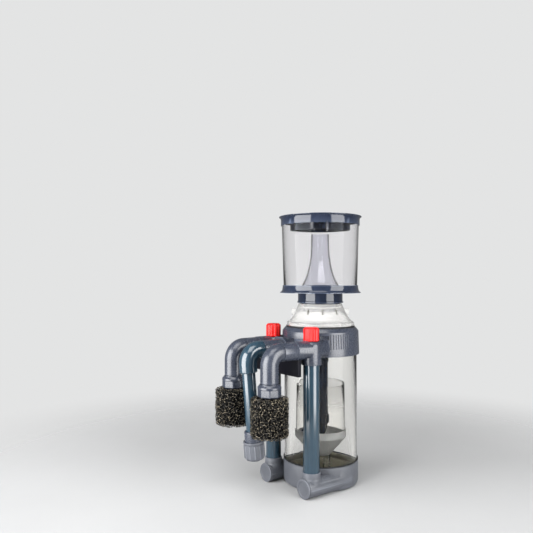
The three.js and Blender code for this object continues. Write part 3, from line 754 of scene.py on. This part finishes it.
def web_points(radius, low, high, bore, rng):
    """Evenly scattered joints of the foam's web."""
    cells, points = {}, []
    for _ in range(TRIES):
        radial = math.sqrt(rng.random()) * radius
        angle = rng.random() * 2 * math.pi
        height = low + rng.random() * (high - low)
        if not in_web(radial, height, radius, low, high, bore):
            continue
        point = Vector((radial * math.cos(angle), radial * math.sin(angle), height))
        key = tuple(int(c // CELL) for c in point)
        near = [q for dx in (-1, 0, 1) for dy in (-1, 0, 1) for dz in (-1, 0, 1)
                for q in cells.get((key[0] + dx, key[1] + dy, key[2] + dz), ())]
        if any((q - point).length < CLOSEST for q in near):
            continue
        cells.setdefault(key, []).append(point)
        points.append(point)
    return points


def strut(start, end, thick, thin, vertices, faces):
    """A three-sided bar between two joints, thinner in its middle."""
    axis = (end - start).normalized()
    across = axis.orthogonal().normalized()
    other = axis.cross(across)
    first = len(vertices)
    for share, size in ((-0.08, thick * 0.6), (0.12, thick), (0.5, thin), (0.88, thick), (1.08, thick * 0.6)):
        centre = start.lerp(end, share)
        for k in range(3):
            angle = 2 * math.pi * k / 3
            vertices.append((centre + (across * math.cos(angle) + other * math.sin(angle)) * size) * MM)
    for ring in range(4):
        for k in range(3):
            a, b = first + 3 * ring + k, first + 3 * ring + (k + 1) % 3
            faces.append((a, b, b + 3, a + 3))
    faces.append((first + 2, first + 1, first))
    faces.append((first + 12, first + 13, first + 14))


def sponge(end, side):
    node = f"sponge_{end}"
    low, high = span(node)
    radius = radius_of(node)
    bore = radius_of(f"strainer_core_{end}") - 0.6
    centre = Vector((DROP_X, side * LINE_Y, 0))
    rng = random.Random(11 if side < 0 else 12)
    points = web_points(radius, low.z, high.z, bore + 0.6, rng)
    tree = kdtree.KDTree(len(points))
    for i, point in enumerate(points):
        tree.insert(point, i)
    tree.balance()
    links = set()
    for i, point in enumerate(points):
        for _, j, distance in tree.find_n(point, 5):
            if j != i and distance < LONGEST:
                links.add((min(i, j), max(i, j)))
    vertices, faces = [], []
    for i, j in sorted(links):
        thick = 0.42 + 0.14 * rng.random()
        strut(points[i] + centre, points[j] + centre, thick, 0.62 * thick, vertices, faces)
    mesh = bpy.data.meshes.new(f"{node}_web")
    mesh.from_pydata(vertices, [], faces)
    web = bpy.data.objects.new(f"{node}_web", mesh)
    bpy.context.scene.collection.objects.link(web)
    place(web, foam_web, node)
    heart_r = radius - WEB_DEPTH + 1
    heart = turn(f"{node}_heart", [(bore, low.z + WEB_DEPTH - 1), (heart_r, low.z + WEB_DEPTH - 1, 3),
                                   (heart_r, high.z - WEB_DEPTH + 1, 3), (bore, high.z - WEB_DEPTH + 1)],
                 upright(centre.x, centre.y), step=4)
    place(heart, foam_heart, node)


# ---------- feed line ----------
def feed_line():
    turn_joint = next(j for j in frame["joints"] if j["name"] == "union_turn")
    drop = Vector(turn_joint["axis"]).normalized()
    tuck = math.degrees(math.asin(drop.x))
    down = (drop - X * drop.x).normalized()
    start = Vector((ARM_END - JOINT_GAP, 0, ARM_Z))
    feed_x = turn_joint["pos_m"][0] / MM + BEND * drop.x
    lead = start.x - (feed_x + BEND)
    arc_end = lead + BEND * math.radians(90 + tuck)
    track = bend(start, -X, down, lead, BEND, 90 + tuck)
    arc_depth = BEND * (1 + math.sin(math.radians(tuck)))

    def at(depth):
        """Distance along the track of a point that deep below the arm."""
        return arc_end + depth - arc_depth

    seam, reducer_top, reducer_bottom, nut_bottom = at(33), at(122), at(137.5), at(165.5)
    bore, pipe, pipe_bore, union_bore = BORE - 1.9, 10.1, 7.9, 8.4
    outline = [*elbow_mouth(bore), (FITTING, seam, 1.2), (pipe + 0.2, seam), (pipe + 0.2, seam - 9),
               (bore, seam - 9)]
    place(turn("feed_drop_elbow_fine", outline, track, step=2.5), pipe_pvc, "feed_drop_elbow")
    outline = sleeve(pipe_bore, pipe, seam - 8, reducer_bottom + 1.7)
    place(turn("feed_pipe_fine", outline, track), pipe_pvc, "feed_pipe")
    thread_end = reducer_bottom + 14
    outline = [(union_bore, thread_end), (UNION_THREAD, thread_end), (UNION_THREAD, reducer_top + 1.4, 0.8),
               (UNION_THREAD - 1.2, reducer_top, 0.5), (pipe + 0.2, reducer_top),
               (pipe + 0.2, reducer_bottom + 2), (union_bore, reducer_bottom + 2)]
    place(turn("union_socket_fine", outline, track), satin_pvc, "union_socket")
    union_nut(track, reducer_bottom + 0.3, nut_bottom)
    flange = nut_bottom - 3.3
    tail = 11.3
    outline = [(union_bore, nut_bottom + 1), (tail, nut_bottom + 1, 0.6), (tail, flange),
               (UNION_THREAD, flange), (UNION_THREAD, flange - 4), (union_bore, flange - 4)]
    place(turn("union_tail_fine", outline, track), satin_pvc, "union_tail")


def union_nut(track, top, bottom):
    wall, inner, lip, ribs = 15.2, UNION_THREAD + 0.2, 11.6, 12
    collar = wall + 0.8

    def rib(angle, r, s):
        if r < wall - 1 or s < top + 4.5 or s > bottom - 2.6:
            return 0
        wave = (math.cos(ribs * angle) - 0.55) / 0.45
        return 0.8 * wave ** 0.6 if wave > 0 else 0

    outline = [(inner, top), (collar, top, 0.6), (collar, top + 2.6, 0.5), (wall - 0.5, top + 3.2, 0.2),
               (wall - 0.5, top + 4.1, 0), (wall, top + 4.5, 0), (wall, top + 5.2, 0),
               (wall, bottom - 3.2, 0.8), (wall - 2.2, bottom, 0.8), (lip, bottom, 0.5),
               (lip, bottom - 3), (inner, bottom - 3)]
    place(turn("union_nut_fine", outline, track, 192, ripple=rib), matte_pvc, "union_nut")


# ---------- neck, cup and lid ----------
FACING = -126.9            # the neck's index pads face this way, in degrees from +X


def neck():
    low, high = span("neck_seal")
    outline = sleeve(NECK_MOUTH, high.x, low.z, high.z)
    place(turn("neck_seal_fine", outline, upright(), SIDES, soft=0.8), rubber, "neck_seal")
    foot = high.z + 0.3
    low, high = span("neck_cone")
    skirt, top, step = 54.0, high.z, 262.2
    wide, narrow = 51.2, 33.4          # inside radii at the skirt and at the top
    flare = spline([(high.x, step), (52, 265), (47.5, 269.8), (42.8, 277.8), (39.2, 285.6), (36, top)])
    lining = spline([(narrow, 286), (40.4, 277), (45.2, 268.6), (wide, step)])
    shell = [(wide, low.z), (skirt, low.z), (skirt, foot), (high.x, foot), *flare, (narrow, top), *lining]
    cone = turn("neck_cone_fine", shell, upright(), SIDES, soft=0.3)
    hollow = [(0, 250), (wide, 250), (wide, step, 0), *reversed(lining[:-1]), (narrow, 300), (0, 300)]
    wings = [block((9, 5, 11), (43.5, 0, 280), FACING + turned, edge=0.8) for turned in (-90, 90)]
    added = [carve(tool, [turn("tool", hollow, upright(), SIDES, soft=0)]) for tool in wings]
    place(carve(cone, added, "UNION"), hazy_acrylic, "neck_cone")
    lean, reach, height = math.radians(-25), 42, 280.6
    leaned_out = Matrix.Translation(Vector((reach, 0, height)) * MM) @ Matrix.Rotation(lean, 4, "Y")
    for number, turned in enumerate((-33, 0, 33), 1):
        pad = block((2.4, 2, 8.5), (0, 0, 0), edge=0.7)
        pad.name = f"neck_pad_{number}"
        pad.data.transform(Matrix.Rotation(math.radians(FACING + turned), 4, "Z") @ leaned_out)
        place(pad, dim_acrylic, "neck_cone")


def cup():
    low, high = span("cup_floor")
    bore, spigot, ring, flange = 29.5, 32.9, 37.2, high.x
    bottom, seat, trough = low.z, 321.0, 317.6
    wall_groove = 61.7
    flare = spline([(flange - 0.4, 312.6), (64.6, 314.6), (63.3, 318.5), (62.8, high.z)])
    groove = spigot - 1.2      # holds the O-ring
    outline = [(bore, bottom), (spigot, bottom, 0.8), (spigot, bottom + 2.2), (groove, bottom + 2.2),
               (groove, bottom + 4.4), (spigot, bottom + 4.4), (spigot, 294.8), (ring + 1, 294.8, 0.5),
               (ring + 1, 297, 0.4), (ring, 297.8, 0.3), (ring, 311.4, 0.8), (flange, 311.4, 0.3), *flare,
               (wall_groove, high.z), (wall_groove, trough), (58.2, trough), (58.2, seat), (bore, seat)]
    place(turn("cup_floor_fine", outline, upright(), SIDES, soft=0.3), gloss_pvc, "cup_floor")
    low, high = span("cup_oring")
    outline = sleeve(32, high.x, low.z, high.z)
    place(turn("cup_oring_fine", outline, upright(), SIDES, soft=0.7), rubber, "cup_oring")
    low, high = span("cup_wall")
    outline = [(58.7, low.z), (61.2, low.z), (64.4, 422.6, 0.2), (high.x, high.z, 0.5), (62, high.z, 0.5)]
    place(turn("cup_wall_fine", outline, upright(), SIDES, soft=0.2), cup_acrylic, "cup_wall")
    low, high = span("foam_riser")
    seat = low.z + 2.1
    outer = spline([(36, seat), (31.5, 328.2), (27.4, 334.6), (23, 344), (19.6, 355), (17, 368),
                    (15.4, 385), (14.7, high.z)])
    inner = [(r - 2, z, 0) for r, z, _ in reversed(outer[4:])]
    outline = [(36, low.z), *outer, *inner, (31, 324), (31, low.z)]
    place(turn("foam_riser_fine", outline, upright(), SIDES, soft=0.3), lilac_acrylic, "foam_riser")


def lid():
    low, high = span("cup_lid")
    rim, skirt = high.x, 65.9
    ring_in, ring_out = 47.5, 50
    roof, underside, skirt_low, top = 433.4, 430.6, 423.7, 436.8
    outline = [(0, roof), (ring_in, roof), (ring_in, low.z), (ring_out, low.z), (ring_out, underside),
               (skirt - 1, underside), (skirt - 1, skirt_low), (skirt, skirt_low, 0.4), (skirt, roof, 2),
               (66.8, 436.2, 2), (rim, 437.6, 0.4), (rim, high.z, 0.4), (rim - 2.7, high.z, 0.8),
               (65, top, 0.8), (0, top)]
    place(turn("cup_lid_fine", outline, upright(), SIDES, soft=0.3), gloss_pvc, "cup_lid")


base_cup()
base_seal()
column_tube()
cyclone()
inner_pipes()
head()
hanger_plate()
for arm_node in ("arm_front", "arm_rear", "feed_arm"):
    arm(arm_node)
for end_name, end_side in ENDS.items():
    foot_cap(end_name, end_side)
    riser(end_name, end_side)
    knob(end_name, end_side)
    return_elbow(end_name, end_side)
    outlet_nut(end_name, end_side)
    strainer_core(end_name, end_side)
    sponge(end_name, end_side)
feed_line()
neck()
cup()
lid()


# ---------- studio ----------
BACKDROP = (0.77, 0.775, 0.775)
AMBIENT = 0.34             # how much of the backdrop's light falls on the object
FLOOR_TONES = ((0.385, 0.387, 0.39), (0.395, 0.397, 0.40))
FLOOR_RADIUS = 2.0         # metres
FLOOR_FADE = (0.3, 0.9)    # metres from the object's axis between which the floor melts into the backdrop
LIGHT_HEIGHT = 0.24        # metres above the floor of the point that every softbox faces
LIGHT_DISTANCE = 1.5       # metres from that point


def floor():
    """A pale matt floor that turns transparent towards its edge."""
    finish = Finish("pale_floor", Specular_IOR_Level=0.05)
    finish.colour(finish.ramp(finish.noise(6, 3), [(0.3, FLOOR_TONES[0]), (0.7, FLOOR_TONES[1])]))
    finish.roughness(finish.spread(finish.noise(40, 4), 0.85, 0.95))
    tree = finish.tree
    distance = tree.nodes.new("ShaderNodeVectorMath")
    distance.operation = "LENGTH"
    finish.link(finish.place, distance, 0)
    fade = tree.nodes.new("ShaderNodeMapRange")
    fade.interpolation_type = "SMOOTHSTEP"
    fade.inputs["From Min"].default_value, fade.inputs["From Max"].default_value = FLOOR_FADE
    finish.link(distance.outputs["Value"], fade, "Value")
    see_through = tree.nodes.new("ShaderNodeBsdfTransparent")
    mix = tree.nodes.new("ShaderNodeMixShader")
    finish.link(fade.outputs["Result"], mix, 0)
    finish.link(finish.shader.outputs[0], mix, 1)
    finish.link(see_through.outputs[0], mix, 2)
    finish.link(mix.outputs[0], tree.nodes["Material Output"], "Surface")
    bpy.ops.mesh.primitive_circle_add(vertices=64, radius=FLOOR_RADIUS, fill_type="NGON", location=(0, 0, 0))
    plane = bpy.context.object
    plane.name = "floor"
    plane.data.materials.append(finish.material)


def backdrop():
    """An even pale backdrop that is seen, and seen through glass, brighter than it lights the object."""
    world = bpy.data.worlds.new("studio")
    world.use_nodes = True
    tree = world.node_tree
    background = tree.nodes["Background"]
    background.inputs["Color"].default_value = (*BACKDROP, 1)
    ray = tree.nodes.new("ShaderNodeLightPath")
    bounces = tree.nodes.new("ShaderNodeMath")
    tree.links.new(ray.outputs["Diffuse Depth"], bounces.inputs[0])
    tree.links.new(ray.outputs["Glossy Depth"], bounces.inputs[1])
    strength = tree.nodes.new("ShaderNodeMapRange")
    strength.inputs["To Min"].default_value = 1.0
    strength.inputs["To Max"].default_value = AMBIENT
    tree.links.new(bounces.outputs[0], strength.inputs["Value"])
    tree.links.new(strength.outputs["Result"], background.inputs["Strength"])
    bpy.context.scene.world = world


def softbox(name, swing, elevation, width, height, power, through_glass=False):
    """A light aimed at the object's middle, swung round it from the camera by swing degrees.

    It lights either outside surfaces or only what is behind glass, so that no light shows through
    the clear cup when the object is seen from its other side.
    """
    data = bpy.data.lights.new(name, "AREA")
    data.shape = "RECTANGLE"
    data.size, data.size_y = width, height
    data.energy = power
    light = bpy.data.objects.new(name, data)
    a, e = math.radians(CAMERA_AZIMUTH + swing), math.radians(elevation)
    back = Vector((math.sin(a) * math.cos(e), -math.cos(a) * math.cos(e), math.sin(e)))
    light.location = Vector((0, 0, LIGHT_HEIGHT)) + back * LIGHT_DISTANCE
    light.rotation_mode = "QUATERNION"
    light.rotation_quaternion = (-back).to_track_quat("-Z", "Y")
    bpy.context.scene.collection.objects.link(light)
    light.visible_camera = False
    light.visible_diffuse = not through_glass
    light.visible_glossy = not through_glass
    light.visible_transmission = through_glass


floor()
backdrop()
softbox("left_softbox", -52, 5, 1.45, 1.9, 92)
softbox("right_softbox", 52, 5, 1.1, 1.9, 56)
softbox("top_softbox", -10, 62, 1.0, 1.0, 16)
softbox("left_strip", -30, 5, 0.14, 1.2, 5.5, through_glass=True)
softbox("right_strip", 26, 5, 0.12, 1.2, 4.5, through_glass=True)
softbox("inside_softbox", 10, 46, 1.2, 1.0, 60, through_glass=True)
bpy.context.scene.view_settings.view_transform = "Standard"
